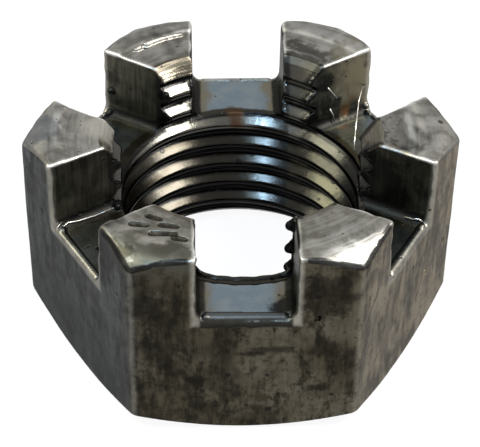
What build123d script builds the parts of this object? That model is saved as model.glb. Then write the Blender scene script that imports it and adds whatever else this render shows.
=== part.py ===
"""Slotted hexagon nut (castle nut) with a 9/16-18 thread, one machined piece of bare steel.

Millimetres, +Z up. The nut stands on its bearing face: the origin is the centre of that
face, the bore runs along +Z and the six slots open upwards. Two of the hexagon's flats face
-Y and +Y, and each slot is centred on a flat.
"""
from build123d import *
import math
import os

# Hexagon
hexagon_sides = 6
across_flats = 20.64
nut_height = 12.30
corner_round = 0.55

# Outside chamfers: the diameter left flat on each end, and the slope from the flat
bearing_face_diameter = 19.90
bearing_chamfer_deg = 30.0
crown_face_diameter = 21.50
crown_chamfer_deg = 31.0

# Slots for the cotter pin: six, in three lines right across the nut
slot_count = 6
slot_width = 5.15
slot_depth = 4.30
slot_corner_radius = 0.70

# Right-hand 9/16-18 thread: the bore is drilled to the crests, the groove cut to the roots
thread_diameter = 14.29
thread_pitch = 1.411
thread_flank_deg = 30.0
bore_diameter = 13.00
crown_mouth_diameter = 15.20
bearing_mouth_diameter = 15.40
mouth_slope_deg = 45.0

# Where the tap's groove starts above the bearing face and round the bore, how far below
# the crown it ends, and how far its section reaches inside the crests
groove_start_z = 0.20
groove_start_deg = -118.0
groove_end_gap = 0.10
groove_overcut = 0.32

# Sharp edges outside the bore are broken by tumbling
edge_break = 0.20

# Margin by which a cutting tool stands clear of what it cuts
tool_margin = 1.0

# How far off its surface a point may be and still count as on it
on_surface = 0.001

half_side_angle = math.pi / hexagon_sides
across_corners = across_flats / math.cos(half_side_angle)
corner_setback = corner_round / math.cos(half_side_angle) - corner_round
side_angle_deg = 360 / hexagon_sides
slot_floor_z = nut_height - slot_depth
slot_pitch_deg = 360 / slot_count
thread_root_flat = thread_pitch / 8


def rise(run, slope_deg):
    """Height gained along a run at a slope from the level."""
    return run * math.tan(math.radians(slope_deg))


def hexagon_bar():
    """The hexagon bar the nut is cut from, with its long edges rounded."""
    outline = RegularPolygon(across_flats / 2, hexagon_sides, major_radius=False)
    outline = fillet(outline.vertices(), corner_round)
    return extrude(outline, nut_height)


def turned_envelope():
    """A round blank whose two chamfers trim the hexagon's corners."""
    rim = across_corners / 2 + tool_margin
    bearing_radius = bearing_face_diameter / 2
    crown_radius = crown_face_diameter / 2
    section = Polyline(
        (0, 0),
        (bearing_radius, 0),
        (rim, rise(rim - bearing_radius, bearing_chamfer_deg)),
        (rim, nut_height - rise(rim - crown_radius, crown_chamfer_deg)),
        (crown_radius, nut_height),
        (0, nut_height),
        close=True,
    )
    return revolve(Plane.XZ * make_face(section), Axis.Z)


def bore_tool():
    """The drilled bore with a countersunk mouth at each end."""
    wall = bore_diameter / 2
    low_mouth = bearing_mouth_diameter / 2
    high_mouth = crown_mouth_diameter / 2
    section = Polyline(
        (0, -tool_margin),
        (low_mouth, -tool_margin),
        (low_mouth, 0),
        (wall, rise(low_mouth - wall, mouth_slope_deg)),
        (wall, nut_height - rise(high_mouth - wall, mouth_slope_deg)),
        (high_mouth, nut_height),
        (high_mouth, nut_height + tool_margin),
        (0, nut_height + tool_margin),
        close=True,
    )
    return revolve(Plane.XZ * make_face(section), Axis.Z)


def slot_tool():
    """One milling pass right across the crown: two opposite slots with rounded floor corners."""
    tool_height = slot_depth + tool_margin
    section = Pos(0, slot_floor_z + tool_height / 2) * Rectangle(slot_width, tool_height)
    floor_corners = section.vertices().group_by(Axis.Y)[0]
    section = fillet(floor_corners, slot_corner_radius)
    return extrude(Plane.XZ * section, across_corners / 2 + tool_margin, both=True)


def groove_tool():
    """The helical groove between the thread's crests, ending inside the two mouths."""
    root = thread_diameter / 2
    inside = bore_diameter / 2 - groove_overcut
    root_half = thread_root_flat / 2
    inside_half = root_half + (root - inside) * math.tan(math.radians(thread_flank_deg))
    section = Polyline(
        (inside, -inside_half),
        (root, -root_half),
        (root, root_half),
        (inside, inside_half),
        close=True,
    )
    climb = nut_height - groove_end_gap - groove_start_z
    path = Helix(thread_pitch, climb, bore_diameter / 2)
    groove = sweep(Plane.XZ * make_face(section), path, is_frenet=True)
    return Pos(Z=groove_start_z) * Rot(Z=groove_start_deg) * groove


def trace(edge):
    """Both ends and the middle of an edge."""
    return [edge @ 0, edge @ 0.5, edge @ 1]


def in_slot_wall(edge):
    """True for an edge that lies in a wall of one of the slots."""
    for turn in range(slot_count // 2):
        squared = Rot(Z=-slot_pitch_deg * turn) * edge
        if all(abs(abs(point.X) - slot_width / 2) < on_surface for point in trace(squared)):
            return True
    return False


def on_hexagon(edge):
    """True for an edge that lies on the hexagon's flats or its rounded corners."""
    turns = [side_angle_deg * side for side in range(hexagon_sides)]
    normals = [Vector(0, 1, 0).rotate(Axis.Z, turn) for turn in turns]
    reach = [max(point.dot(normal) for normal in normals) for point in trace(edge)]
    return min(reach) > across_flats / 2 - corner_setback - on_surface


def tumbled_edges(nut):
    """The prongs' edges outside the bore, and the outer lips of the slot floors."""
    mouth_depth = rise((crown_mouth_diameter - bore_diameter) / 2, mouth_slope_deg)
    crown = nut.edges().filter_by(lambda edge: edge.center().Z > slot_floor_z - on_surface)
    outer = crown.filter_by(on_hexagon)
    walls = crown.filter_by(lambda edge: edge.center().Z > nut_height - mouth_depth)
    return outer + walls.filter_by(in_slot_wall)


def castle_nut():
    """The finished nut."""
    nut = hexagon_bar() & turned_envelope()
    nut -= bore_tool()
    for turn in range(slot_count // 2):
        nut -= Rot(Z=slot_pitch_deg * turn) * slot_tool()
    nut = chamfer(tumbled_edges(nut), edge_break)
    return nut - groove_tool()


os.makedirs("parts", exist_ok=True)
nut = castle_nut()
nut.label = "castle_nut"
export_step(nut, "parts/castle_nut.step")
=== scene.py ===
"""Dressed castle nut: the worn, bare-steel nut that stands for the plain CAD solid."""
import logging
import math
from dataclasses import dataclass, field
from enum import Enum

import bpy
import numpy as np
from mathutils import Matrix, Vector


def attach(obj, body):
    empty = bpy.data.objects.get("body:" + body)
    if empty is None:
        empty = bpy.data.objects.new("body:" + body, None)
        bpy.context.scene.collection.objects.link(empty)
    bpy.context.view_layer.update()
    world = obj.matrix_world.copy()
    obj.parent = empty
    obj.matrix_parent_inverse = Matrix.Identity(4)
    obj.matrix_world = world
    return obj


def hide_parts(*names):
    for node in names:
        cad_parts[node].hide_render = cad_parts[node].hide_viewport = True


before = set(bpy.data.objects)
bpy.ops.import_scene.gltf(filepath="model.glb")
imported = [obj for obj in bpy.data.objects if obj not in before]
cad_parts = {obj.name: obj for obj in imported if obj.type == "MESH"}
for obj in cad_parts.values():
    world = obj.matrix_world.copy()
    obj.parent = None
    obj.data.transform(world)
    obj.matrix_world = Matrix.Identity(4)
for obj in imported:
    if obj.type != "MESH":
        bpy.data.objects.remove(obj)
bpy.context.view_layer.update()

log = logging.getLogger("castle_nut")
MM = 0.001
Point = tuple[float, float, float]
Colour = tuple[float, float, float]
Array = np.ndarray
Place = tuple[Array, ...]
TO_MM: Point = (1000.0, 1000.0, 1000.0)
BLACK: Colour = (0.010, 0.010, 0.009)
RUST: Colour = (0.060, 0.030, 0.014)


def placed(name: str, data: bpy.types.ID) -> bpy.types.Object:
    """A new object of some data, linked to the scene."""
    made = bpy.data.objects.new(name, data)
    bpy.context.scene.collection.objects.link(made)
    return made


def smooth_max(a: Array, b: Array, width: float | Array) -> Array:
    """Larger of two fields, negative inside, with their edge rounded over a width in mm."""
    blend = np.maximum(width - np.abs(a - b), 0.0)
    return np.maximum(a, b) + blend * blend / (4.0 * width)


def smooth_min(a: Array, b: Array, width: float | Array) -> Array:
    """Smaller of two fields, negative inside, with a fillet of a width in mm."""
    return -smooth_max(-a, -b, width)


def smooth_step(low: float, high: float, value: Array) -> Array:
    """Ramp from 0 at low to 1 at high, level at both ends."""
    share = np.clip((value - low) / (high - low), 0.0, 1.0)
    return share * share * (3.0 - 2.0 * share)


@dataclass(frozen=True)
class Waves:
    """Smooth random relief: a sum of plane waves of about one wavelength."""

    wavelength: float
    count: int
    seed: int

    def at(self, place: Place) -> Array:
        """Relief at some points.

        Args:
            place: X, y and z of the points, in mm.

        Returns:
            The relief, mostly from -1 to 1.
        """
        x, y, z = place
        rng = np.random.default_rng(self.seed)
        total = np.zeros_like(x)
        for _ in range(self.count):
            way = rng.normal(size=3)
            way *= 2.0 * math.pi / self.wavelength / np.linalg.norm(way)
            way *= rng.uniform(0.6, 1.5)
            turn = rng.uniform(0.0, 2.0 * math.pi)
            total += np.sin(way[0] * x + way[1] * y + way[2] * z + turn, dtype=x.dtype)
        return total * (1.4 / math.sqrt(self.count))


class Work(Enum):
    """What a stroke does to the steel."""

    FILL = "fill"
    CUT = "cut"


@dataclass(frozen=True)
class Stroke:
    """A straight mark or sliver: a rounded bar from one point to another, in mm."""

    start: Point
    end: Point
    start_radius: float
    end_radius: float
    work: Work = Work.FILL
    blend: float = 0.08

    def distance(self, place: Place) -> Array:
        """Distance from the bar's skin.

        Args:
            place: X, y and z of the points, in mm.

        Returns:
            The distance in mm, negative inside the bar.
        """
        x, y, z = place
        sx, sy, sz = self.start
        dx, dy, dz = (b - a for a, b in zip(self.start, self.end))
        along = ((x - sx) * dx + (y - sy) * dy + (z - sz) * dz) / (dx * dx + dy * dy + dz * dz)
        along = np.clip(along, 0.0, 1.0)
        away = (x - sx - along * dx) ** 2 + (y - sy - along * dy) ** 2 + (z - sz - along * dz) ** 2
        return np.sqrt(away) - (self.start_radius + (self.end_radius - self.start_radius) * along)

    def worked(self, steel: Array, place: Place) -> Array:
        """Adds the bar to a field or cuts it out, at the points near it.

        Args:
            steel: The field as a flat array, changed in place.
            place: X, y and z of the points as flat arrays, in mm.

        Returns:
            The field.
        """
        reach = max(self.start_radius, self.end_radius) + 3.0 * self.blend
        near = slice(None)
        for values, a, b in zip(place, self.start, self.end):
            off = np.abs(values[near] - (a + b) / 2.0)
            hits = np.flatnonzero(off < abs(a - b) / 2.0 + reach)
            near = hits if isinstance(near, slice) else near[hits]
        if near.size:
            gap = self.distance(tuple(values[near] for values in place))
            join = smooth_min if self.work is Work.FILL else smooth_max
            steel[near] = join(steel[near], gap if self.work is Work.FILL else -gap, self.blend)
        return steel


def turned(point: Point, turn: float) -> Point:
    """A point turned about the nut's axis by some degrees."""
    c, s = math.cos(math.radians(turn)), math.sin(math.radians(turn))
    return point[0] * c - point[1] * s, point[0] * s + point[1] * c, point[2]


def milling_burrs() -> tuple[Stroke, ...]:
    """Flakes that the slot cutter pushed out of the thread's crests on the front right prong.

    Returns:
        The flakes, one a crest, and the torn rib that joins them.
    """
    rng = np.random.default_rng(21)
    flakes = [Stroke((2.66, -6.30, 8.3), (2.62, -6.28, 11.3), 0.20, 0.12)]
    for crest in range(3):
        z = 8.00 + 1.411 * crest
        end = (2.50 - rng.uniform(0.10, 0.18), -6.18, z + rng.uniform(-0.1, 0.1))
        flakes.append(Stroke((2.66, -6.20, z + 0.66), end, 0.12, 0.24))
        flakes.append(Stroke((2.72, -6.20, z - 0.12), end, 0.24, 0.24))
    return tuple(flakes)


def lip_beads() -> tuple[Stroke, ...]:
    """Rolled beads along the outer lips of the slots' floors, with a blob at one end of five of them.

    Returns:
        The beads and blobs, the thickest on the front slot.
    """
    rng = np.random.default_rng(5)
    beads = []
    for slot in range(6):
        thick = (0.38, 0.30, 0.18, 0.12, 0.18, 0.24)[slot]
        inset, up = 10.29 - thick, 8.05 - thick / 2.0
        ends = [turned((x, -inset, up), 60.0 * slot) for x in (-1.95, 1.95)]
        beads.append(Stroke(ends[0], ends[1], thick, thick * 0.85))
        for x in ((-2.1,), (2.1,), (2.1,), (), (-2.1,), (-2.1,))[slot]:
            blob = turned((x, -9.95 - rng.uniform(0.0, 0.1), 8.0), 60.0 * slot)
            size = rng.uniform(0.20, 0.26)
            beads.append(Stroke(blob, (blob[0], blob[1], blob[2] + 0.1), size, size * 0.7, Work.FILL, 0.12))
    return tuple(beads)


def bent_fin() -> tuple[Stroke, ...]:
    """Cuts along the front slot's inner edge, where the thread's thin fin was bent and torn.

    Returns:
        The cuts.
    """
    cuts = []
    for out, up, size in ((7.27, 8.13, 0.24), (6.38, 8.05, 0.44)):
        turns = np.radians(np.linspace(-111.0, -69.0, 6))
        points = [(out * math.cos(turn), out * math.sin(turn), up) for turn in turns]
        cuts.extend(Stroke(a, b, size, size, Work.CUT, 0.12) for a, b in zip(points, points[1:]))
    return tuple(cuts)


def rim_beads() -> tuple[Stroke, ...]:
    """Beads of rolled metal on the crown: a raised line and the knocked corners of the prongs.

    Returns:
        The beads.
    """
    rng = np.random.default_rng(8)
    beads = []
    start, end = np.array((-5.76, 7.43, 12.25)), np.array((-3.19, 8.89, 12.25))
    bow = np.array((-0.10, 0.16, 0.0))
    marks = np.linspace(0.0, 1.0, 8)
    points = [start + (end - start) * t + bow * math.sin(math.pi * t) for t in marks]
    for a, b in zip(points, points[1:]):
        thick = rng.uniform(0.12, 0.17)
        beads.append(Stroke(tuple(a), tuple(b), thick, thick + rng.uniform(-0.03, 0.03)))
    knobs = ((-2.72, -9.98, 12.10), (-10.2, -2.62, 12.06), (10.12, -2.5, 12.08), (7.5, 7.2, 8.3),
             (-7.3, 7.0, 8.2), (-9.75, -2.95, 8.2), (-6.75, -1.35, 8.15), (-7.2, 7.15, 9.6))
    for knob in knobs:
        size = rng.uniform(0.16, 0.22)
        tail = tuple(k + rng.uniform(-0.16, 0.16) for k in knob)
        beads.append(Stroke(knob, tail, size, size * 0.8))
    return tuple(beads)


def knock(centre: Array, lean: Array, size: float) -> Stroke:
    """A small dent that runs from a centre along a lean, in mm."""
    return Stroke(tuple(centre), tuple(centre + lean), size, size * 0.8, Work.CUT, 0.05)


def handling_nicks() -> tuple[Stroke, ...]:
    """Short dents on the front left prong's crown, and scattered small knocks elsewhere.

    Returns:
        The dents.
    """
    nicks = []
    spots = (
        ((-5.75, -7.35), (-5.05, -7.45)),
        ((-4.95, -6.75), (-4.35, -7.00)),
        ((-4.30, -7.45), (-3.50, -7.60)),
        ((-4.75, -8.10), (-3.60, -8.15)),
        ((-3.60, -8.45), (-3.10, -8.60)),
    )
    for a, b in spots:
        nicks.append(Stroke((*a, 12.42), (*b, 12.40), 0.30, 0.27, Work.CUT, 0.03))
    rng = np.random.default_rng(33)
    for _ in range(46):
        side = math.radians(rng.integers(0, 6) * 60.0 + 30.0)
        along, up = rng.uniform(-5.4, 5.4), rng.uniform(0.8, 11.4)
        centre = np.array((10.40 * math.cos(side) - along * math.sin(side),
                           10.40 * math.sin(side) + along * math.cos(side), up))
        nicks.append(knock(centre, rng.normal(size=3) * (0.16, 0.16, 0.22), rng.uniform(0.09, 0.16)))
    for _ in range(14):
        turn, out = math.radians(rng.uniform(0.0, 360.0)), rng.uniform(8.0, 10.3)
        centre = np.array((out * math.cos(turn), out * math.sin(turn), 12.32))
        nicks.append(knock(centre, rng.normal(size=3) * (0.25, 0.25, 0.0), rng.uniform(0.08, 0.14)))
    return tuple(nicks)


@dataclass(frozen=True)
class NutForm:
    """The nut's worn form as a field that is negative inside the steel, in mm."""

    across_flats: float = 20.64
    height: float = 12.30
    corner_round: float = 0.55
    bearing_face: float = 19.90
    bearing_slope: float = 30.0
    crown_face: float = 21.50
    crown_slope: float = 31.0
    ring: float = 9.75
    slot_width: float = 5.15
    slot_depth: float = 4.30
    slot_corner: float = 0.70
    crest: float = 6.50
    root: float = 7.145
    pitch: float = 1.411
    root_flat: float = 0.176
    flank_slope: float = 0.76
    crown_mouth: float = 15.20
    bearing_mouth: float = 15.40
    groove_height: float = 6.66
    skin: float = 0.012
    broad_relief: Waves = Waves(5.0, 14, 11)
    fine_relief: Waves = Waves(1.1, 18, 12)
    ragged_relief: Waves = Waves(0.45, 18, 13)
    strokes: tuple[Stroke, ...] = field(
        default_factory=lambda: bent_fin() + milling_burrs() + lip_beads() + rim_beads() + handling_nicks())

    @property
    def slot_floor(self) -> float:
        """Height of the slots' floors."""
        return self.height - self.slot_depth

    def across_slots(self, x: Array, y: Array) -> Array:
        """Distance sideways from the middle line of the nearest slot, in mm.

        Args:
            x: X of the points, in mm.
            y: Y of the points, in mm.

        Returns:
            The distance, 0 on the line.
        """
        side = np.full_like(x, np.inf)
        for turn in (90.0, 150.0, 210.0):
            c, s = math.cos(math.radians(turn)), math.sin(math.radians(turn))
            side = np.minimum(side, np.abs(y * c - x * s))
        return side

    def hexagon(self, x: Array, y: Array) -> Array:
        """Distance from the hexagon's rounded outline.

        Args:
            x: X of the points, in mm.
            y: Y of the points, in mm.

        Returns:
            The distance in mm, negative inside.
        """
        reach = self.across_flats / 2.0 - self.corner_round
        px, py = np.abs(x), np.abs(y)
        kx, ky = -math.sqrt(3.0) / 2.0, 0.5
        fold = 2.0 * np.minimum(kx * px + ky * py, 0.0)
        qx, qy = px - fold * kx, py - fold * ky
        half = reach * math.tan(math.pi / 6.0)
        qx = qx - np.clip(qx, -half, half)
        qy = qy - reach
        return np.sqrt(qx * qx + qy * qy) * np.sign(qy) - self.corner_round

    def bore(self, place: Place, out: Array) -> Array:
        """Field of the steel round the threaded bore.

        Args:
            place: X, y and z of the points, in mm.
            out: Distance from the nut's axis, in mm.

        Returns:
            The field, negative in the steel.
        """
        x, y, z = place
        turn = np.arctan2(y, x) / (2.0 * math.pi)
        rise = (z - self.groove_height - (turn - 0.25) * self.pitch) / self.pitch
        off = np.abs(rise - np.round(rise)) * self.pitch
        flank = off - self.root_flat / 2.0 - (self.root - out) * self.flank_slope
        groove = smooth_max(out - self.root, flank / math.hypot(1.0, self.flank_slope), 0.10)
        wall = smooth_max(self.crest - out, -groove, 0.10)
        slope = math.sqrt(0.5)
        high = (self.crown_mouth / 2.0 - (self.height - z) - out) * slope
        low = (self.bearing_mouth / 2.0 - z - out) * slope
        return smooth_max(wall, np.maximum(high, low), 0.05)

    def distance(self, place: Place) -> Array:
        """The whole nut's field.

        Args:
            place: X, y and z of the points, in mm.

        Returns:
            The field, negative inside and near the distance in mm close to the skin.
        """
        x, y, z = place
        out = np.sqrt(x * x + y * y)
        tilt = math.radians(self.crown_slope)
        crown = (z - self.height) * math.cos(tilt) + (out - self.crown_face / 2.0) * math.sin(tilt)
        dish = 0.07 * smooth_step(self.ring + 0.12, self.ring - 0.22, out)
        dish += 0.02 * np.maximum(self.ring - out, 0.0)
        top = smooth_max(crown, z - self.height + dish, 0.20)
        tilt = math.radians(self.bearing_slope)
        under = (out - self.bearing_face / 2.0) * math.sin(tilt) - z * math.cos(tilt)
        broad = self.broad_relief.at(place)
        fine = self.fine_relief.at(place)
        worn = np.clip(1.0 + 0.28 * broad + 0.12 * fine, 0.4, 1.8)
        steel = self.hexagon(x, y) + self.skin * (1.2 + 0.9 * broad + 0.2 * fine)
        steel = smooth_max(steel, top + self.skin * (0.9 + 0.5 * broad + 0.4 * fine), 0.20 * worn)
        steel = smooth_max(steel, under, 0.08)
        steel = smooth_max(steel, -z, 0.06)
        side = self.across_slots(x, y)
        qx = side - (self.slot_width / 2.0 - self.slot_corner)
        qz = self.slot_floor + self.slot_corner - z
        slot = np.sqrt(np.maximum(qx, 0.0) ** 2 + np.maximum(qz, 0.0) ** 2)
        slot = slot + np.minimum(np.maximum(qx, qz), 0.0) - self.slot_corner
        steel = smooth_max(steel, -slot + 0.004 * fine, 0.26 * worn)
        steel = smooth_max(steel, self.bore(place, out), 0.06)
        lip = np.exp(-((side - self.slot_width / 2.0) / 0.16) ** 2)
        lip *= smooth_step(7.3, 6.8, out) * smooth_step(7.8, 8.4, z) * smooth_step(12.0, 11.4, z)
        ragged = np.maximum(self.ragged_relief.at(place), -0.4)
        steel = steel - 0.02 * lip * ragged
        flat = tuple(np.ascontiguousarray(values).ravel() for values in place)
        worked = steel.ravel()
        for stroke in self.strokes:
            worked = stroke.worked(worked, flat)
        return worked.reshape(steel.shape)

    def slope(self, points: Array) -> tuple[Array, Array]:
        """Field and its gradient at some points.

        Args:
            points: Rows of x, y, z in mm.

        Returns:
            The field, and the gradient as rows.
        """
        step = 0.008
        here = self.distance(tuple(points.T))
        rows = []
        for axis in range(3):
            shift = np.zeros(3)
            shift[axis] = step
            ahead = self.distance(tuple((points + shift).T))
            behind = self.distance(tuple((points - shift).T))
            rows.append((ahead - behind) / (2.0 * step))
        return here, np.stack(rows, axis=1)


@dataclass(frozen=True)
class Mesher:
    """Turns a field into a mesh: one point a grid cell, drawn on to the skin."""

    cell: float = 0.10
    margin: int = 3
    triangles: int = 190000

    def sample(self, form: NutForm) -> tuple[Array, Array]:
        """The field on a regular grid.

        Args:
            form: The nut's form.

        Returns:
            The grid's lowest corner in mm, and the field as a 3-D array.
        """
        half_x = form.across_flats / math.sqrt(3.0)
        half_y = form.across_flats / 2.0
        low = np.array([-half_x, -half_y, 0.0]) - self.margin * self.cell
        high = np.array([half_x, half_y, form.height]) + self.margin * self.cell
        counts = np.ceil((high - low) / self.cell).astype(int) + 1
        axes = [(low[i] + self.cell * np.arange(counts[i])).astype(np.float32) for i in range(3)]
        values = np.empty(tuple(counts), np.float32)
        step = 24
        for start in range(0, counts[0], step):
            place = np.meshgrid(axes[0][start : start + step], axes[1], axes[2], indexing="ij")
            values[start : start + step] = form.distance(tuple(place))
        return low, values

    def quads(self, low: Array, values: Array) -> tuple[Array, Array]:
        """Points and four-sided faces of the field's skin.

        Args:
            low: The grid's lowest corner, in mm.
            values: The field on the grid.

        Returns:
            Points in mm as rows, and faces as rows of four point numbers.
        """
        inside = values < 0.0
        shape = np.array(values.shape) - 1
        corners = [(i, j, k) for i in (0, 1) for j in (0, 1) for k in (0, 1)]
        filled = np.zeros(tuple(shape), np.int8)
        for i, j, k in corners:
            filled += inside[i : i + shape[0], j : j + shape[1], k : k + shape[2]]
        cells = np.argwhere((filled > 0) & (filled < 8))
        number = np.full(tuple(shape), -1, np.int64)
        number[tuple(cells.T)] = np.arange(len(cells))
        total = np.zeros((len(cells), 3))
        hits = np.zeros(len(cells))
        for a in corners:
            for axis in range(3):
                if a[axis]:
                    continue
                b = list(a)
                b[axis] = 1
                va = values[tuple((cells + a).T)].astype(float)
                vb = values[tuple((cells + b).T)].astype(float)
                cross = (va < 0.0) != (vb < 0.0)
                share = np.where(cross, va / np.where(cross, va - vb, 1.0), 0.0)
                point = np.array(a, float)[None, :].repeat(len(cells), 0)
                point[:, axis] += share
                total += np.where(cross[:, None], point, 0.0)
                hits += cross
        points = low + self.cell * (cells + total / hits[:, None])
        faces = []
        for axis in range(3):
            u, v = (axis + 1) % 3, (axis + 2) % 3
            near = [slice(None)] * 3
            far = [slice(None)] * 3
            near[axis], far[axis] = slice(0, -1), slice(1, None)
            change = inside[tuple(near)] != inside[tuple(far)]
            edges = np.argwhere(change)
            edges = edges[(edges[:, u] > 0) & (edges[:, v] > 0)]
            edges = edges[(edges[:, u] < shape[u]) & (edges[:, v] < shape[v])]
            ring = []
            for du, dv in ((-1, -1), (0, -1), (0, 0), (-1, 0)):
                cell = edges.copy()
                cell[:, u] += du
                cell[:, v] += dv
                ring.append(number[tuple(cell.T)])
            quad = np.stack(ring, axis=1)
            outward = inside[tuple(edges.T)]
            faces.append(np.where(outward[:, None], quad, quad[:, ::-1]))
        return points, np.concatenate(faces)

    def settle(self, form: NutForm, points: Array, rounds: int) -> Array:
        """Draws points on to the skin along the field's gradient.

        Args:
            form: The nut's form.
            points: Rows of x, y, z in mm.
            rounds: How many times the points move.

        Returns:
            The moved points.
        """
        for _ in range(rounds):
            here, grade = form.slope(points)
            square = np.maximum((grade * grade).sum(1), 0.2)
            move = -grade * (here / square)[:, None]
            far = np.linalg.norm(move, axis=1)
            move *= np.minimum(1.0, 0.5 * self.cell / np.maximum(far, 1e-9))[:, None]
            points = points + move
        return points

    def build(self, form: NutForm, name: str) -> bpy.types.Object:
        """The finished mesh object, with normals taken from the form.

        Args:
            form: The nut's form.
            name: The object's name.

        Returns:
            The new object, in metres.
        """
        low, values = self.sample(form)
        points, faces = self.quads(low, values)
        points = self.settle(form, points, 3)
        raw = bpy.data.meshes.new(name)
        raw.from_pydata(points * MM, [], faces)
        piece = placed(name, raw)
        thin = piece.modifiers.new("thin", "DECIMATE")
        thin.ratio = min(1.0, self.triangles / (2.0 * len(faces)))
        graph = bpy.context.evaluated_depsgraph_get()
        mesh = bpy.data.meshes.new_from_object(piece.evaluated_get(graph))
        piece.modifiers.clear()
        piece.data = mesh
        bpy.data.meshes.remove(raw)
        mesh.name = name
        count = len(mesh.vertices)
        flat = np.empty(count * 3)
        mesh.vertices.foreach_get("co", flat)
        points = self.settle(form, flat.reshape(-1, 3) / MM, 1)
        mesh.vertices.foreach_set("co", (points * MM).ravel())
        grade = form.slope(points)[1]
        grade /= np.maximum(np.linalg.norm(grade, axis=1), 1e-9)[:, None]
        mesh.polygons.foreach_set("use_smooth", np.ones(len(mesh.polygons), bool))
        mesh.normals_split_custom_set_from_vertices([tuple(row) for row in grade])
        mesh.update()
        log.info("%s: %d points, %d faces", name, count, len(mesh.polygons))
        return piece


class Wire:
    """A shader socket that takes part in arithmetic; each operation adds its Math node."""

    def __init__(self, bench: "Bench", socket: bpy.types.NodeSocket) -> None:
        """Wraps an output socket of a bench's node tree."""
        self.bench = bench
        self.socket = socket

    def math(self, operation: str, *others: "Wire | float", clamp: bool = False) -> "Wire":
        """A Math node of this value and others."""
        return self.bench.math(operation, self, *others, clamp=clamp)

    def __add__(self, other: "Wire | float") -> "Wire":
        """Sum."""
        return self.math("ADD", other)

    def __radd__(self, other: float) -> "Wire":
        """Sum with a number first."""
        return self.bench.math("ADD", other, self)

    def __sub__(self, other: "Wire | float") -> "Wire":
        """Difference."""
        return self.math("SUBTRACT", other)

    def __rsub__(self, other: float) -> "Wire":
        """Difference from a number."""
        return self.bench.math("SUBTRACT", other, self)

    def __mul__(self, other: "Wire | float") -> "Wire":
        """Product."""
        return self.math("MULTIPLY", other)

    def __rmul__(self, other: float) -> "Wire":
        """Product with a number first."""
        return self.bench.math("MULTIPLY", other, self)

    def __truediv__(self, other: "Wire | float") -> "Wire":
        """Quotient."""
        return self.math("DIVIDE", other)

    def __abs__(self) -> "Wire":
        """Size without sign."""
        return self.math("ABSOLUTE")

    def held(self) -> "Wire":
        """Held from 0 to 1."""
        return self.math("MULTIPLY", 1.0, clamp=True)

    def least(self, other: "Wire | float") -> "Wire":
        """Smaller of two."""
        return self.math("MINIMUM", other)

    def most(self, other: "Wire | float") -> "Wire":
        """Larger of two."""
        return self.math("MAXIMUM", other)

    def coated(self, share: "Wire | float", colour: object) -> "Wire":
        """This colour with a share of another laid over it."""
        return self.bench.mix(share, self, colour)

    def ramp(self, low: float, high: float) -> "Wire":
        """Smooth ramp from 0 at low to 1 at high, either way round.

        Args:
            low: Where the ramp is 0.
            high: Where the ramp is 1.

        Returns:
            The ramp's value.
        """
        rises = low < high
        limits = {"From_Min": min(low, high), "From_Max": max(low, high),
                  "To_Min": 0.0 if rises else 1.0, "To_Max": 1.0 if rises else 0.0}
        made = self.bench.node("ShaderNodeMapRange", {"interpolation_type": "SMOOTHSTEP"},
                               Value=self, **limits)
        return self.bench.wire(made, "Result")


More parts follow.
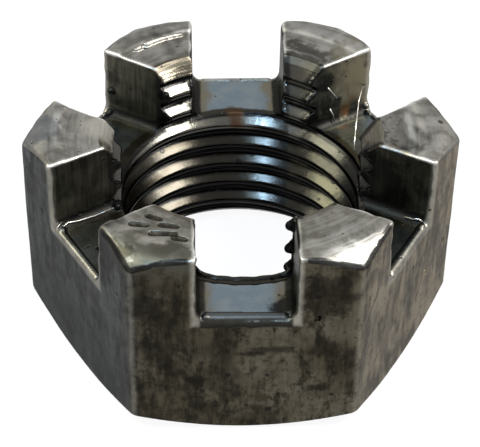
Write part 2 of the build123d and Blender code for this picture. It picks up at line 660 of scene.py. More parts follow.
class Bench:
    """A node tree, with the one method that adds any node to it."""

    def __init__(self, owner: bpy.types.Material | bpy.types.World) -> None:
        """Starts an empty tree.

        Args:
            owner: The material or world that holds the tree.
        """
        owner.use_nodes = True
        self.tree = owner.node_tree
        self.tree.nodes.clear()

    def node(self, kind: str, settings: dict | None = None, **values: object) -> bpy.types.Node:
        """Adds a node: its settings first, then the values or links of its sockets.

        Args:
            kind: The node's type.
            settings: Properties of the node, set before its sockets.
            values: Socket name, with underscores for spaces, to a value, a wire or a node.

        Returns:
            The node.
        """
        made = self.tree.nodes.new(kind)
        for key, value in (settings or {}).items():
            setattr(made, key, value)
        for key, value in values.items():
            if isinstance(value, bpy.types.Node):
                value = self.wire(value)
            number = key[1:]
            socket = made.inputs[int(number)] if number.isdigit() else made.inputs[key.replace("_", " ")]
            if isinstance(value, Wire):
                self.tree.links.new(value.socket, socket)
            else:
                socket.default_value = value
        return made

    def wire(self, made: bpy.types.Node, output: str | int = 0) -> Wire:
        """One of a node's outputs as a wire."""
        return Wire(self, made.outputs[output])

    def math(self, operation: str, *values: Wire | float, clamp: bool = False) -> Wire:
        """A Math node of some values, held from 0 to 1 if clamped."""
        inputs = {f"_{i}": value for i, value in enumerate(values)}
        return self.wire(self.node("ShaderNodeMath", {"operation": operation, "use_clamp": clamp}, **inputs))

    def vector(self, operation: str, *values: Wire | Point) -> Wire:
        """A Vector Math node of some vectors.

        Args:
            operation: The node's operation.
            values: The vectors, as wires or numbers.

        Returns:
            The node's vector, or its number for a length.
        """
        inputs = {f"_{i}": value for i, value in enumerate(values)}
        made = self.node("ShaderNodeVectorMath", {"operation": operation}, **inputs)
        return self.wire(made, 1 if operation == "LENGTH" else 0)

    def noise(self, place: Wire, scale: float, detail: float = 3.0, rough: float = 0.5) -> Wire:
        """Noise value, from 0 to 1, at a place in mm, with so many bumps to the mm."""
        made = self.node("ShaderNodeTexNoise", {"noise_dimensions": "3D"}, Vector=place,
                         Scale=scale, Detail=detail, Roughness=rough)
        return self.wire(made, "Fac")

    def warped(self, place: Wire, scale: float, reach: float) -> Wire:
        """A place pushed about by noise.

        Args:
            place: The point, as a vector.
            scale: Bumps of the noise to the mm.
            reach: Width of the pushing, in mm.

        Returns:
            The pushed point.
        """
        made = self.node("ShaderNodeTexNoise", {"noise_dimensions": "3D"}, Vector=place, Scale=scale)
        push = self.vector("SUBTRACT", self.wire(made, "Color"), (0.5, 0.5, 0.5))
        return self.vector("MULTIPLY_ADD", push, (reach, reach, reach), place)

    def dots(self, place: Wire, scale: float, radius: float, share: float) -> Wire:
        """Scattered round dots.

        Args:
            place: The point, as a vector in mm.
            scale: Cells to the mm.
            radius: Largest radius of a dot, in mm.
            share: Share of the cells that has a dot.

        Returns:
            1 in a dot and 0 outside.
        """
        made = self.node("ShaderNodeTexVoronoi", {"feature": "F1"}, Vector=place, Scale=scale)
        colour = self.node("ShaderNodeSeparateColor", Color=self.wire(made, "Color"))
        chosen, size = self.wire(colour, 0).ramp(share, share - 0.01), self.wire(colour, 1)
        rim = (0.4 + 0.6 * size) * (radius * scale)
        return chosen * (rim - self.wire(made, "Distance")).ramp(0.0, 0.04 * scale)

    def mix(self, share: Wire | float, first: object, second: object, kind: str = "MIX") -> Wire:
        """A colour mixed from two.

        Args:
            share: How much of the second there is.
            first: First colour, as a wire or three numbers.
            second: Second colour, as a wire or three numbers.
            kind: The Mix node's blend type.

        Returns:
            The mixed colour.
        """
        first = first if isinstance(first, Wire) else (*first, 1.0)
        second = second if isinstance(second, Wire) else (*second, 1.0)
        made = self.node("ShaderNodeMix", {"data_type": "RGBA", "blend_type": kind},
                         _0=share, _6=first, _7=second)
        return self.wire(made, 2)

    def seen(self) -> Wire:
        """1 for rays from the camera or off a glossy surface, and 0 for others."""
        path = self.node("ShaderNodeLightPath")
        return self.wire(path, "Is Camera Ray").most(self.wire(path, "Is Glossy Ray"))

    def spread(self, place: Wire, factors: Point) -> Wire:
        """A place stretched by a factor along each axis."""
        return self.vector("MULTIPLY", place, factors)


class Region:
    """Measures taken at a point of the nut's skin, in mm, for laying finishes where they belong."""

    def __init__(self, bench: Bench, form: NutForm) -> None:
        """Builds the measures.

        Args:
            bench: The material's bench.
            form: The nut's sizes.
        """
        self.bench, self.form = bench, form
        coords = bench.node("ShaderNodeTexCoord")
        self.place = bench.spread(bench.wire(coords, "Object"), TO_MM)
        parts = bench.node("ShaderNodeSeparateXYZ", Vector=self.place)
        self.x, self.y, self.z = (bench.wire(parts, i) for i in range(3))
        facing = bench.node("ShaderNodeSeparateXYZ", Vector=bench.wire(coords, "Normal"))
        self.nz = bench.wire(facing, 2)
        self.out = (self.x * self.x + self.y * self.y).math("SQRT")
        self.turn = self.y.math("ARCTAN2", self.x)
        a, b, c = (form.across_flats / 2.0 - self.sideways(turn) for turn in (90.0, 30.0, 150.0))
        self.below_flats = a.least(b).least(c)
        self.below_second = a.least(b).most(a.most(b).least(c))
        tilt = math.radians(form.crown_slope)
        self.down = down = form.height - self.z
        cone = down * math.cos(tilt) - (self.out - form.crown_face / 2.0) * math.sin(tilt)
        self.below_crown = cone.least(down)
        self.aside = self.sideways(0.0).least(self.sideways(60.0)).least(self.sideways(120.0))
        self.in_wall = self.aside - form.slot_width / 2.0
        self.beside_slot = self.in_wall.most(form.slot_floor - self.z)
        self.below_mouth = (self.out - form.crown_mouth / 2.0 + down) * math.sqrt(0.5)
        self.pushed = bench.warped(self.place, 0.35, 1.6)
        self.cloud = bench.noise(self.pushed, 0.24, 3.0, 0.5)
        self.mottle = bench.noise(self.pushed, 0.9, 6.0, 0.62)
        self.shake = self.mottle - 0.5
        self.grain = bench.noise(self.place, 6.0, 4.0, 0.6)
        self.turning = bench.noise(self.lathe(5.0, 0.35), 1.0, 4.0, 0.65)

    def sideways(self, turn: float) -> Wire:
        """Distance along a level direction at an angle from +X, without sign."""
        c, s = math.cos(math.radians(turn)), math.sin(math.radians(turn))
        return abs(self.x * c + self.y * s)

    def groove(self) -> Wire:
        """Place across the thread: 0 at the root, 1 at the crest above it, -1 at the one below."""
        turns = self.turn / (2.0 * math.pi) - 0.25
        lift = (self.z - self.form.groove_height) / self.form.pitch - turns
        return (lift - lift.math("ROUND")) * 2.0

    def lathe(self, across: float, along: float) -> Wire:
        """A place for marks that run round the axis, stretched across and along them."""
        made = self.bench.node("ShaderNodeCombineXYZ", X=self.out * across, Y=self.z * across,
                               Z=self.turn * (8.0 * along))
        return self.bench.wire(made)


class Mark:
    """A colour that covers part of the steel."""

    colour: Colour
    share: float

    def cover(self, at: Region) -> Wire:
        """How far the mark covers the skin, from 0 to 1."""
        raise NotImplementedError

    def laid(self, at: Region, under: Wire) -> Wire:
        """A colour with the mark laid over it."""
        return under.coated(self.cover(at) * self.share, self.colour)


@dataclass(frozen=True)
class Patch(Mark):
    """A stain, smear, rubbed spot, painted shadow, painted shade or painted reflection, with an uneven rim,
    in mm.
    """

    centre: Point
    radius: float
    soft: float
    colour: Colour
    share: float
    squash: Point = (1.0, 1.0, 1.0)

    def cover(self, at: Region) -> Wire:
        """How far the patch covers the skin, with an uneven rim.

        Args:
            at: Measures at the skin.

        Returns:
            The cover, from 0 to 1.
        """
        apart = at.bench.vector("SUBTRACT", at.place, self.centre)
        gap = at.bench.vector("LENGTH", at.bench.spread(apart, self.squash))
        return (gap + at.shake * (2.2 * self.radius)).ramp(self.radius, self.radius - self.soft)


@dataclass(frozen=True)
class Arc(Mark):
    """A rubbed or stained line that runs round the crown, in mm and degrees."""

    radius: float
    width: float
    middle: float
    half: float
    colour: Colour
    share: float

    def cover(self, at: Region) -> Wire:
        """How far the line covers the skin, with uneven sides and ends.

        Args:
            at: Measures at the skin.

        Returns:
            The cover, from 0 to 1.
        """
        turns = at.turn / (2.0 * math.pi) - self.middle / 360.0
        along = abs(turns - turns.math("ROUND")) * 360.0
        band = abs(at.out - self.radius + at.shake * 0.4).ramp(self.width, self.width * 0.3)
        return band * (along + at.shake * 8.0).ramp(self.half, self.half - 3.0)


def front_stains() -> tuple[Patch, ...]:
    """Dark stains on the front flat: place, radius, softness, and squash sideways and upwards."""
    spots = (
        (-4.0, 5.3, 0.6, 0.42, 1.7, 0.6), (-3.4, 4.4, 0.7, 0.49, 1.0, 1.2),
        (-2.7, 3.9, 0.6, 0.42, 0.7, 1.8), (1.1, 6.0, 0.75, 0.52, 0.45, 1.9),
        (0.2, 5.7, 0.6, 0.42, 0.5, 2.4), (3.1, 4.9, 0.6, 0.42, 0.9, 1.3),
        (3.9, 6.2, 0.7, 0.49, 1.5, 0.6), (3.9, 3.1, 0.7, 0.49, 0.7, 1.5),
        (-5.5, 2.9, 0.8, 0.56, 1.8, 0.55), (-5.1, 9.2, 1.2, 0.84, 1.0, 0.7),
    )
    return tuple(Patch((x, -10.3, z), radius, soft, (0.012, 0.0105, 0.008), 0.75, (wide, 1.0, high))
                 for x, z, radius, soft, wide, high in spots)


@dataclass(frozen=True)
class BareSteel:
    """Bare machined steel, dulled by handling, with oily smears, stains and rubbed edges, and with painted
    shade, highlights and reflections.
    """

    flat_brown: Colour = (0.072, 0.061, 0.041)
    flat_dark: Colour = (0.015, 0.0135, 0.010)
    flat_pale: Colour = (0.105, 0.095, 0.072)
    # Painted reflections on the front side flats, cool on the left and warm on the right; the cool pale also
    # lights the front bead's top.
    cool_reflection_dark: Colour = (0.014, 0.0155, 0.0165)
    cool_reflection_pale: Colour = (0.088, 0.092, 0.092)
    warm_reflection_dark: Colour = (0.070, 0.058, 0.040)
    warm_reflection_pale: Colour = (0.250, 0.209, 0.152)
    crown_grey: Colour = (0.215, 0.208, 0.186)
    crown_dark: Colour = (0.095, 0.090, 0.076)
    wall_dark: Colour = (0.038, 0.036, 0.027)
    wall_pale: Colour = (0.090, 0.084, 0.064)
    # Painted reflection of the blue grey light that the smooth slot floors mirror.
    floor_blue_reflection: Colour = (0.150, 0.190, 0.220)
    floor_pale_reflection: Colour = (0.225, 0.255, 0.255)
    straw: Colour = (0.140, 0.112, 0.062)
    mouth_steel: Colour = (0.150, 0.132, 0.104)
    thread_steel: Colour = (0.021, 0.0195, 0.0165)
    olive: Colour = (0.015, 0.0135, 0.0095)
    # Near black: the oil in pits and grain, and painted shade in the roots, slots, dents and under edges.
    oil_and_shade: Colour = (0.009, 0.009, 0.009)
    rubbed: Colour = (0.42, 0.40, 0.35)
    # Painted highlight: the front right prong's chamfer and the slot walls' top edges.
    bright: Colour = (0.66, 0.645, 0.61)
    arcs: tuple[Arc, ...] = (
        Arc(9.38, 0.20, 118.5, 9.5, (0.34, 0.32, 0.275), 0.85),
        Arc(9.95, 0.16, 118.0, 13.0, (0.10, 0.096, 0.085), 0.6),
        Arc(10.04, 0.20, -120.5, 10.0, (0.30, 0.285, 0.235), 0.40),
        Arc(9.62, 0.42, -61.0, 13.0, (0.30, 0.29, 0.27), 0.55),
        Arc(10.08, 0.28, 178.0, 10.0, (0.36, 0.36, 0.34), 0.55),
        Arc(9.15, 0.26, -1.5, 12.0, (0.34, 0.34, 0.32), 0.60),
        Arc(8.6, 0.30, -1.5, 12.0, (0.085, 0.082, 0.075), 0.5),
        Arc(10.2, 0.5, 60.0, 14.0, (0.27, 0.265, 0.25), 0.5),
        Arc(7.98, 0.10, 64.0, 11.0, (0.48, 0.47, 0.44), 0.75),
    )
    patches: tuple[Patch, ...] = (
        # Painted reflection: lighter olive on the thread's right side.
        Patch((5.4, 4.8, 4.6), 2.6, 2.0, (0.085, 0.082, 0.052), 0.60),
        # Painted shade: a dark reflection on the back right prong's countersink.
        Patch((3.6, 6.2, 11.2), 2.3, 0.9, (0.040, 0.039, 0.034), 0.80),
        Patch((-7.6, 0.6, 12.2), 1.5, 1.1, (0.40, 0.385, 0.34), 0.70),
        Patch((-4.9, -9.8, 12.2), 1.4, 0.5, (0.060, 0.057, 0.045), 0.85),
        Patch((-3.5, -10.0, 12.2), 1.3, 0.5, (0.070, 0.067, 0.054), 0.80),
        Patch((-11.0, 0.3, 12.0), 1.5, 0.6, (0.120, 0.126, 0.138), 0.65),
        Patch((10.8, 0.70, 12.2), 0.24, 0.10, (0.030, 0.022, 0.015), 0.85),
        # Painted shadow at the right end of the front slot's floor.
        Patch((2.2, -8.9, 8.1), 1.1, 0.5, BLACK, 0.92),
        Patch((-7.1, 7.15, 10.6), 0.8, 0.5, (0.014, 0.014, 0.012), 0.7),
        Patch((-7.2, 7.15, 9.2), 0.8, 0.5, (0.014, 0.014, 0.012), 0.7),
        Patch((6.9, 7.0, 10.6), 2.4, 1.4, (0.185, 0.160, 0.105), 0.75),
        Patch((4.95, 5.83, 10.9), 0.75, 0.3, BLACK, 0.85),
        Patch((5.05, 5.88, 9.5), 0.80, 0.3, BLACK, 0.85),
        Patch((5.60, 6.18, 9.3), 0.50, 0.2, BLACK, 0.75),
        Patch((7.4, 7.25, 11.3), 0.40, 0.25, (0.030, 0.026, 0.018), 0.75),
        Patch((6.30, 6.50, 8.7), 0.48, 0.45, (0.26, 0.115, 0.040), 0.65),
        Patch((6.60, 6.65, 9.2), 0.42, 0.40, (0.20, 0.10, 0.045), 0.40),
        Patch((7.6, -1.2, 9.6), 2.6, 1.2, (0.012, 0.012, 0.011), 0.75),
        Patch((0.0, 7.0, 7.85), 0.80, 0.5, RUST, 0.70),
        Patch((0.0, 6.4, 7.35), 0.42, 0.3, RUST, 0.60),
        *front_stains(),
        Patch((4.0, -10.3, 9.9), 1.9, 1.1, (0.014, 0.012, 0.009), 0.75),
        # Painted shade that dims the lamp's highlight on the front left prong's chamfer.
        Patch((-6.0, -8.7, 12.1), 1.1, 0.6, (0.085, 0.081, 0.064), 0.70),
        Patch((-6.3, -9.4, 11.9), 0.9, 0.4, (0.030, 0.028, 0.022), 0.85),
        Patch((-6.75, -8.7, 12.0), 0.6, 0.3, (0.050, 0.047, 0.038), 0.70),
    )

    def material(self, form: NutForm) -> bpy.types.Material:
        """The steel's material.

        Args:
            form: The nut's sizes.

        Returns:
            The material.
        """
        made = bpy.data.materials.new("bare_steel")
        bench = Bench(made)
        at = Region(bench, form)
        mix, noise = bench.mix, bench.noise
        drawn = noise(bench.spread(at.place, (5.0, 5.0, 0.35)), 1.0, 4.0, 0.6)
        pits = bench.dots(at.place, 0.9, 0.20, 0.30).most(bench.dots(at.place, 2.3, 0.10, 0.22))

        in_bore = (0.72 - (at.out - form.crest)).ramp(0.0, 0.08) * at.beside_slot.ramp(0.03, 0.10)
        in_mouth = (0.14 - at.below_mouth).ramp(0.0, 0.05)
        on_wall = (0.20 - at.beside_slot).ramp(0.0, 0.1) * (1.0 - in_mouth)
        on_floor = on_wall * at.nz.ramp(0.90, 0.99)
        on_top = (0.20 - at.below_crown).ramp(0.0, 0.1) * (1.0 - in_mouth)

        colour = self.flats(at)
        colour = colour.coated(in_bore, self.thread(at))
        scratched = noise(at.lathe(12.0, 0.5), 1.0, 4.0, 0.7)
        mouth = mix(at.x.ramp(-1.0, 3.0), self.wall_dark, self.crown_dark)
        mouth = mouth.coated((at.turning * 0.4 + scratched * 0.6).ramp(0.44, 0.56), self.mouth_steel)
        colour = colour.coated(in_mouth, mouth)
        wall = mix((drawn * 0.6 + at.mottle * 0.4).ramp(0.36, 0.66), self.wall_dark, self.wall_pale)
        # Painted shade on the slot walls: near black in the bottom fillets, by the bore and in the back
        # slot.
        wall = wall.coated(at.nz.ramp(0.12, 0.45) * (0.72 + 0.22 * abs(at.x).ramp(2.6, 3.2)), self.oil_and_shade)
        wall = wall.coated(at.out.ramp(7.4, 7.2) * 0.75, self.oil_and_shade)
        wall = wall.coated(at.y.ramp(4.0, 5.0) * abs(at.x).ramp(3.2, 3.0) * 0.6, self.oil_and_shade)
        colour = colour.coated(on_wall, wall)
        colour = colour.coated(on_floor, self.floor(at))
        colour = colour.coated(on_top, self.crown(at))
        for patch in self.patches:
            colour = patch.laid(at, colour)
        colour = self.edges(at, colour)
        # Near black on the burr flakes that stick into the slots: oil and painted shade.
        burr = at.in_wall.ramp(0.0, -0.06) * at.out.ramp(7.7, 7.5) * (at.z - form.slot_floor).ramp(0.3, 0.5)
        colour = colour.coated(burr * 0.95, self.oil_and_shade)
        # Painted shade, near black, over the thread's torn ends by the slot walls on the right, hiding the
        # lamps' highlights there.
        torn = in_bore.most(in_mouth) * at.in_wall.ramp(0.50, 0.25) * at.x.ramp(0.5, 1.5)
        colour = colour.coated(torn * 0.8, self.oil_and_shade)
        colour = colour.coated(pits * 0.75, self.oil_and_shade)
        colour = colour.coated(at.grain.ramp(0.60, 0.80) * 0.30, self.oil_and_shade)

        rough = 0.42 + 0.24 * at.shake - 0.14 * on_floor - 0.25 * in_bore
        height = (at.mottle * 0.35 + at.grain * 0.22 + drawn * on_wall * 0.5 - pits * 0.8
                  + at.turning * on_top.most(in_mouth).most(in_bore) * 0.35)
        bump = bench.node("ShaderNodeBump", Strength=0.5, Distance=0.00004, Height=height)
        shader = bench.node("ShaderNodeBsdfPrincipled", Base_Color=colour, Metallic=1.0,
                            Specular_Tint=(0.65, 0.65, 0.65, 1.0), Roughness=rough,
                            Normal=bump)
        bench.node("ShaderNodeOutputMaterial", Surface=shader)
        return made

    def flats(self, at: Region) -> Wire:
        """Colour of the six flats: mottled brown, with painted reflections on the front side flats, cool and
        darker towards the bottom on the left, warm and lighter on the right.

        Args:
            at: Measures at the skin.

        Returns:
            The colour.
        """
        mix, noise, spread = at.bench.mix, at.bench.noise, at.bench.spread
        smear = noise(spread(at.place, (1.6, 1.6, 0.40)), 1.0, 6.0, 0.7)
        speck = noise(at.place, 2.6, 6.0, 0.75)
        blot = (at.mottle * 0.28 + smear * 0.40 + speck * 0.22 + at.cloud * 0.10).ramp(0.41, 0.59)
        front = mix(blot, self.flat_dark, self.flat_brown)
        worn = at.cloud.ramp(0.44, 0.66) * (smear + speck - 0.5).ramp(0.36, 0.66)
        front = front.coated(worn, self.flat_pale)
        side = 1.0 - at.y.ramp(2.0, 6.0)
        # Painted reflections: cool and darker towards the bottom on the left flat, warm and lighter on the
        # right.
        cool_reflection = mix(blot * (0.40 + 0.6 * at.z.ramp(1.0, 9.0)), self.cool_reflection_dark, self.cool_reflection_pale)
        warm_reflection = mix(blot, self.warm_reflection_dark, self.warm_reflection_pale)
        colour = mix(at.x.ramp(-5.2, -6.8) * side, front, cool_reflection)
        colour = colour.coated(at.x.ramp(5.2, 6.8) * side, warm_reflection)
        vein = abs(noise(spread(at.pushed, (0.24, 0.24, 0.16)), 1.0, 2.0) - 0.5).ramp(0.045, 0.0)
        stain = (vein * 0.55 + 1.1 * (speck - 0.5) + 1.5 * at.shake).held() * at.cloud.ramp(0.36, 0.56)
        colour = colour.coated(stain * 0.9, self.flat_dark)
        shaded = at.cloud.ramp(0.56, 0.40) * smear.ramp(0.62, 0.42)
        return colour.coated(shaded * 0.45, self.flat_dark)

    def thread(self, at: Region) -> Wire:
        """Colour of the thread: dark flanks for the lamps to light, with olive streaks, painted light on the
        top turn, and painted shade, near black, on the crests and in the roots.

        Args:
            at: Measures at the skin.

        Returns:
            The colour.
        """
        mix = at.bench.mix
        across = at.groove() + 0.14 * at.shake + 0.10 * (at.turning - 0.5)
        steel = mix(at.turning.ramp(0.30, 0.55), self.olive, self.thread_steel)
        # Painted shade: the crests are coloured near black.
        steel = steel.coated(abs(across).ramp(0.78, 0.88), self.oil_and_shade)
        # Painted light: the top turn, which no crest overhangs, is lighter.
        steel = steel.coated(at.z.ramp(6.8, 7.5) * 0.5, (0.13, 0.126, 0.112))
        # Painted shade, near black, in the roots under the crests.
        root_shade = across.ramp(-0.40, -0.28) * across.ramp(0.86, 0.74)
        return steel.coated(root_shade, self.oil_and_shade)

    def floor(self, at: Region) -> Wire:
        """Colour of the slots' floors: a painted reflection of blue grey light, straw near the walls, and
        painted shade in the side slots, by the walls and by the bore.

        Args:
            at: Measures at the skin.

        Returns:
            The colour.
        """
        mix = at.bench.mix
        near_wall = (at.aside + 1.6 * at.shake + 1.2 * (at.cloud - 0.5)).ramp(1.3, 2.1)
        # Painted reflection: blue grey with paler spots.
        colour = mix(at.mottle.ramp(0.40, 0.66) * 0.45, self.floor_blue_reflection, self.floor_pale_reflection)
        colour = colour.coated(near_wall * 0.75, self.straw)
        # Painted shade on the side slots' floors.
        dark = abs(at.x).ramp(2.6, 3.2) * (0.75 + 1.5 * (at.cloud - 0.5)).held()
        colour = colour.coated(dark, self.wall_dark)
        # Painted shade along the walls' corners and along the bore's edge.
        colour = colour.coated(at.aside.ramp(1.95, 2.35), self.wall_dark)
        return colour.coated((at.out + 0.3 * at.shake).ramp(7.52, 7.36), self.wall_dark)

    def crown(self, at: Region) -> Wire:
        """Colour of the crown: satin grey with turning marks, rougher inside the ring, with a painted
        highlight on the front right prong's chamfer and painted shade inside the dents.

        Args:
            at: Measures at the skin.

        Returns:
            The colour.
        """
        mix = at.bench.mix
        base = mix((at.mottle * 0.8 + at.turning * 0.2).ramp(0.32, 0.62), self.crown_dark, self.crown_grey)
        inner = (at.out + 0.8 * at.shake).ramp(9.9, 9.4)
        base = base.coated(inner * at.turning.ramp(0.56, 0.42) * 0.35, self.crown_dark)
        ring = abs(at.out - at.form.ring).ramp(0.26, 0.05)
        base = base.coated(ring * at.mottle.ramp(0.42, 0.6) * 0.3, self.rubbed)
        pitted = at.x.ramp(7.0, 7.4) * at.x.ramp(9.1, 8.6) * at.turning.ramp(0.44, 0.52)
        pitted = pitted * at.mottle.ramp(0.48, 0.54)
        base = base.coated(pitted * 0.7, self.oil_and_shade)
        for arc in self.arcs:
            base = arc.laid(at, base)
        lift = mix(1.0, base, (1.13, 1.13, 1.16), "MULTIPLY")
        colour = mix(at.y.ramp(-6.0, -2.0), base, lift)
        # Painted highlight on the front right prong's chamfer, broken up by noise.
        facet_highlight = (at.out + 0.5 * at.shake).ramp(9.85, 10.65)
        facet_highlight = facet_highlight * at.x.ramp(3.4, 5.2) * at.y.ramp(-7.4, -8.6)
        glint = 0.42 + 1.6 * at.shake + 0.5 * at.turning.ramp(0.52, 0.62)
        colour = colour.coated(facet_highlight * glint.held(), self.bright)
        sunk = at.form.height - at.z - at.out.ramp(9.87, 9.53) * 0.07
        sunk = sunk - 0.02 * (at.form.ring - at.out).most(0.0)
        nick = sunk.ramp(0.012, 0.035) * at.out.ramp(10.5, 10.3) * at.beside_slot.most(0.0).ramp(0.25, 0.40)
        # Painted shade, near black, inside the dents.
        return colour.coated(nick * at.below_mouth.ramp(0.2, 0.4) * 0.95, self.oil_and_shade)

    def edges(self, at: Region, colour: Wire) -> Wire:
        """Lays rubbed edges, painted highlights along the slot walls' top edges, painted shade under the
        crown's rim, and the front slot's bead painted pale on top and near black underneath, over a colour.

        Args:
            at: Measures at the skin.
            colour: The colour so far.

        Returns:
            The colour with its edges.
        """
        worn = 0.5 + 1.6 * at.shake + 0.7 * (at.grain - 0.5)
        corner = at.below_second.ramp(0.27, 0.08) * at.below_flats.ramp(0.3, 0.2)
        rim = at.below_flats.most(at.below_crown).ramp(0.18, 0.04)
        crest = at.beside_slot.most(at.below_crown).ramp(0.26, 0.06)
        lip = at.beside_slot.most(at.below_flats).ramp(0.42, 0.12)
        colour = colour.coated((corner * (0.1 + worn)).held() * 0.28, self.rubbed)
        colour = colour.coated((rim * worn).held() * 0.40, self.rubbed)
        # Painted highlight along the slot walls' top edges.
        colour = colour.coated((crest * (0.4 + worn)).held() * 0.80, self.bright)
        colour = colour.coated((lip * (0.3 + worn)).held() * 0.55, self.rubbed)
        under = at.below_crown + 0.24 * at.shake
        shade = under.ramp(-0.02, 0.04) * under.ramp(0.24, 0.15) * at.below_flats.ramp(0.28, 0.18)
        shade = shade * at.beside_slot.ramp(0.3, 0.5) * (0.25 + 0.65 * at.y.ramp(-6.0, -8.0))
        colour = colour.coated(shade, self.oil_and_shade)
        above = at.z - at.form.slot_floor
        bead = (above + 0.3 * at.shake).ramp(-0.44, -0.30) * above.ramp(0.36, 0.30)
        bead = bead * at.aside.ramp(2.50, 2.30) * at.below_flats.ramp(0.80, 0.65)
        # Painted light on the front slot's bead: pale on its top, near black underneath.
        bead_shading = at.bench.mix(at.nz.ramp(0.0, 0.55), self.oil_and_shade, self.thread_steel)
        bead_shading = bead_shading.coated(at.nz.ramp(0.70, 0.96) * 0.8, self.cool_reflection_pale)
        return colour.coated(bead * at.y.ramp(-7.0, -9.0) * 0.92, bead_shading)


@dataclass(frozen=True)
class CutSteel:
    """Freshly cut steel, dull in places."""

    bright: Colour = (0.62, 0.60, 0.56)
    dull: Colour = (0.22, 0.20, 0.17)

    def material(self) -> bpy.types.Material:
        """The steel's material.

        Returns:
            The material.
        """
        made = bpy.data.materials.new("cut_steel")
        bench = Bench(made)
        coords = bench.node("ShaderNodeTexCoord")
        place = bench.spread(bench.wire(coords, "Object"), TO_MM)
        tone = bench.noise(place, 1.4, 3.0).ramp(0.40, 0.55)
        shader = bench.node("ShaderNodeBsdfPrincipled", Base_Color=bench.mix(tone, self.dull, self.bright),
                            Metallic=1.0, Roughness=0.45 - 0.15 * tone)
        bench.node("ShaderNodeOutputMaterial", Surface=shader)
        return made


@dataclass(frozen=True)
class Sliver:
    """A hair of cut metal left between or beside the prongs, in mm."""

    name: str
    points: tuple[Point, ...]
    thick: float
    sides: int = 6

    def build(self, steel: bpy.types.Material) -> bpy.types.Object:
        """Sweeps the hair along its points.

        Args:
            steel: Its material.

        Returns:
            The hair's object.
        """
        path = np.array(self.points)
        vertices, faces = [], []
        for i, centre in enumerate(path):
            way = path[min(i + 1, len(path) - 1)] - path[max(i - 1, 0)]
            side = np.cross(way, (1.0, 0.0, 0.2))
            side /= np.linalg.norm(side)
            lift = np.cross(side, way / np.linalg.norm(way))
            for k in range(self.sides):
                turn = 2.0 * math.pi * k / self.sides
                off = self.thick * (math.cos(turn) * side + math.sin(turn) * lift)
                vertices.append(tuple((centre + off) * MM))
        last = len(vertices) - self.sides
        for i in range(0, last, self.sides):
            for k in range(self.sides):
                j = (k + 1) % self.sides
                faces.append((i + k, i + j, i + j + self.sides, i + k + self.sides))
        faces.append(tuple(reversed(range(self.sides))))
        faces.append(tuple(range(last, last + self.sides)))
        mesh = bpy.data.meshes.new(self.name)
        mesh.from_pydata(vertices, [], faces)
        mesh.polygons.foreach_set("use_smooth", np.ones(len(mesh.polygons), bool))
        mesh.materials.append(steel)
        made = placed(self.name, mesh)
        log.info("%s: %d points, %d faces", self.name, len(vertices), len(faces))
        return made


@dataclass
class CastleNut:
    """The nut itself: its worn mesh and its finish."""

    form: NutForm = field(default_factory=NutForm)
    mesher: Mesher = field(default_factory=lambda: Mesher(cell=0.10))
    finish: BareSteel = field(default_factory=BareSteel)
    cut: CutSteel = field(default_factory=CutSteel)
    slivers: tuple[Sliver, ...] = (
        Sliver("whisker", ((7.42, 7.30, 9.76), (7.15, 6.8, 9.9), (6.9, 5.9, 9.6), (6.75, 5.0, 8.9),
                           (6.62, 4.2, 8.3), (6.52, 3.30, 7.86)), 0.036),
        Sliver("left_sliver", ((-9.95, -3.30, 8.34), (-9.70, -2.98, 8.50), (-9.62, -3.14, 8.30),
                               (-9.38, -2.84, 8.34), (-8.80, -2.56, 8.22), (-7.90, -2.16, 8.24),
                               (-7.10, -1.72, 8.30), (-6.95, -1.80, 8.46)), 0.034),
        Sliver("right_sliver", ((8.76, -2.52, 8.22), (9.10, -2.74, 8.34), (9.22, -2.72, 8.22),
                                (9.55, -2.96, 8.44), (9.74, -2.98, 8.30)), 0.045),
        Sliver("back_sliver", ((5.09, 5.79, 10.70), (5.36, 5.93, 10.25), (5.68, 6.11, 9.72)), 0.045),
        Sliver("low_sliver", ((5.28, 5.90, 9.10), (5.49, 5.99, 8.60), (5.56, 5.76, 8.28)), 0.045),
    )

    def build(self) -> bpy.types.Object:
        """Makes the nut, dresses it and sets it on its body.

        Returns:
            The nut's object.
        """
        piece = self.mesher.build(self.form, "worn_castle_nut")
        piece.data.materials.append(self.finish.material(self.form))
        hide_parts("castle_nut")
        steel = self.cut.material()
        for made in (piece, *(sliver.build(steel) for sliver in self.slivers)):
            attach(made, "root")
        return piece


@dataclass(frozen=True)
class Softbox:
    """A square studio lamp that points at the nut."""

    name: str
    direction: Point
    distance: float
    size: float
    power: float
    colour: Colour = (1.0, 1.0, 1.0)

    def build(self) -> bpy.types.Object:
        """The lamp's object."""
        lamp = bpy.data.lights.new(self.name, "AREA")
        lamp.shape = "SQUARE"
        lamp.size = self.size
        lamp.energy = self.power
        lamp.color = self.colour
        made = placed(self.name, lamp)
        way = Vector(self.direction).normalized()
        made.location = way * self.distance
        made.rotation_mode = "QUATERNION"
        made.rotation_quaternion = way.to_track_quat("Z", "Y")
        return made


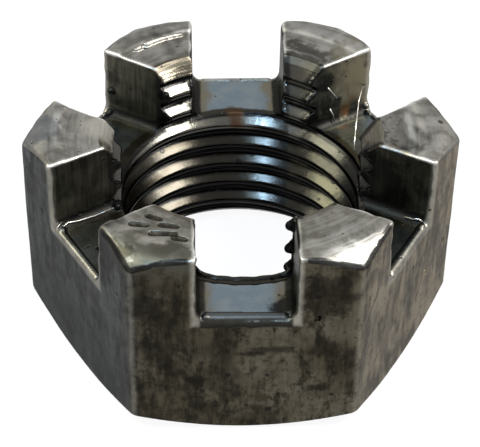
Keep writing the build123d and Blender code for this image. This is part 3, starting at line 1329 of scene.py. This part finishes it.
@dataclass
class Studio:
    """Camera, lamps, floor and surroundings."""

    azimuth: float = -2.286
    elevation: float = 41.466
    roll: float = 0.938
    distance: float = 0.09427
    target: Point = (-0.00032, -0.00809, 0.012794)
    lens: float = 140.68
    lamps: tuple[Softbox, ...] = (
        Softbox("key_softbox", (0.63, -0.07, 0.77), 0.40, 0.12, 2.35, (1.0, 0.97, 0.91)),
        Softbox("broad_softbox", (0.50, 0.08, 0.86), 0.42, 0.32, 0.16, (1.0, 0.98, 0.96)),
        Softbox("window_softbox", (-0.19, -0.375, 0.91), 0.40, 0.040, 1.25, (0.48, 0.73, 1.0)),
        Softbox("warm_softbox", (-0.68, 0.05, 0.73), 0.40, 0.14, 1.30, (1.0, 0.98, 0.75)),
    )

    def camera(self) -> bpy.types.Object:
        """The camera, looking down on the nut's crown.

        Returns:
            The camera's object.
        """
        az, el, roll = (math.radians(v) for v in (self.azimuth, self.elevation, self.roll))
        back = Vector((math.sin(az) * math.cos(el), -math.cos(az) * math.cos(el), math.sin(el)))
        level = (-back).cross(Vector((0.0, 0.0, 1.0))).normalized()
        rise = level.cross(-back)
        across = level * math.cos(roll) + rise * math.sin(roll)
        upward = rise * math.cos(roll) - level * math.sin(roll)
        lens = bpy.data.cameras.new("camera")
        lens.sensor_width = 36.0
        lens.lens = self.lens
        lens.clip_start = 0.005
        lens.clip_end = 10.0
        made = placed("camera", lens)
        turn = Matrix((across, upward, back)).transposed().to_4x4()
        made.matrix_world = Matrix.Translation(Vector(self.target) + back * self.distance) @ turn
        bpy.context.scene.camera = made
        return made

    def floor(self) -> bpy.types.Object:
        """The pale floor, white to the camera, with the nut's soft shadow.

        Returns:
            The floor's object.
        """
        half = 1.5
        mesh = bpy.data.meshes.new("floor")
        rim = [(-half, -half, 0.0), (half, -half, 0.0), (half, half, 0.0), (-half, half, 0.0)]
        mesh.from_pydata(rim, [], [(0, 1, 2, 3)])
        made = placed("floor", mesh)
        made.location.z = -0.00002
        made_of = bpy.data.materials.new("floor_paper")
        bench = Bench(made_of)
        seen = bench.seen()
        paper = bench.node("ShaderNodeBsdfDiffuse", Color=(0.86, 0.86, 0.86, 1.0))
        white = bench.node("ShaderNodeEmission", Color=(1.0, 1.0, 1.0, 1.0), Strength=1.0)
        both = bench.node("ShaderNodeMixShader", _0=seen * 0.93, _1=paper, _2=white)
        behind = bench.wire(bench.node("ShaderNodeNewGeometry"), "Backfacing")
        clear = bench.node("ShaderNodeBsdfTransparent")
        shown = bench.node("ShaderNodeMixShader", _0=behind, _1=both, _2=clear)
        bench.node("ShaderNodeOutputMaterial", Surface=shown)
        mesh.materials.append(made_of)
        return made

    def surroundings(self) -> None:
        """White surroundings to the eye and to gloss, and a dimmer even light on the nut."""
        world = bpy.data.worlds.new("studio")
        bpy.context.scene.world = world
        bench = Bench(world)
        seen = bench.seen()
        glow = bench.node("ShaderNodeBackground", Color=(1.0, 1.0, 1.0, 1.0), Strength=seen * 0.5 + 0.5)
        bench.node("ShaderNodeOutputWorld", Surface=glow)

    def build(self) -> None:
        """Sets up the whole studio."""
        bpy.context.scene.view_settings.view_transform = "Standard"
        self.camera()
        self.floor()
        self.surroundings()
        for lamp in self.lamps:
            lamp.build()


def main() -> None:
    """Builds the studio and the nut."""
    logging.basicConfig(level=logging.INFO)
    Studio().build()
    CastleNut().build()


if __name__ == "__main__":
    main()
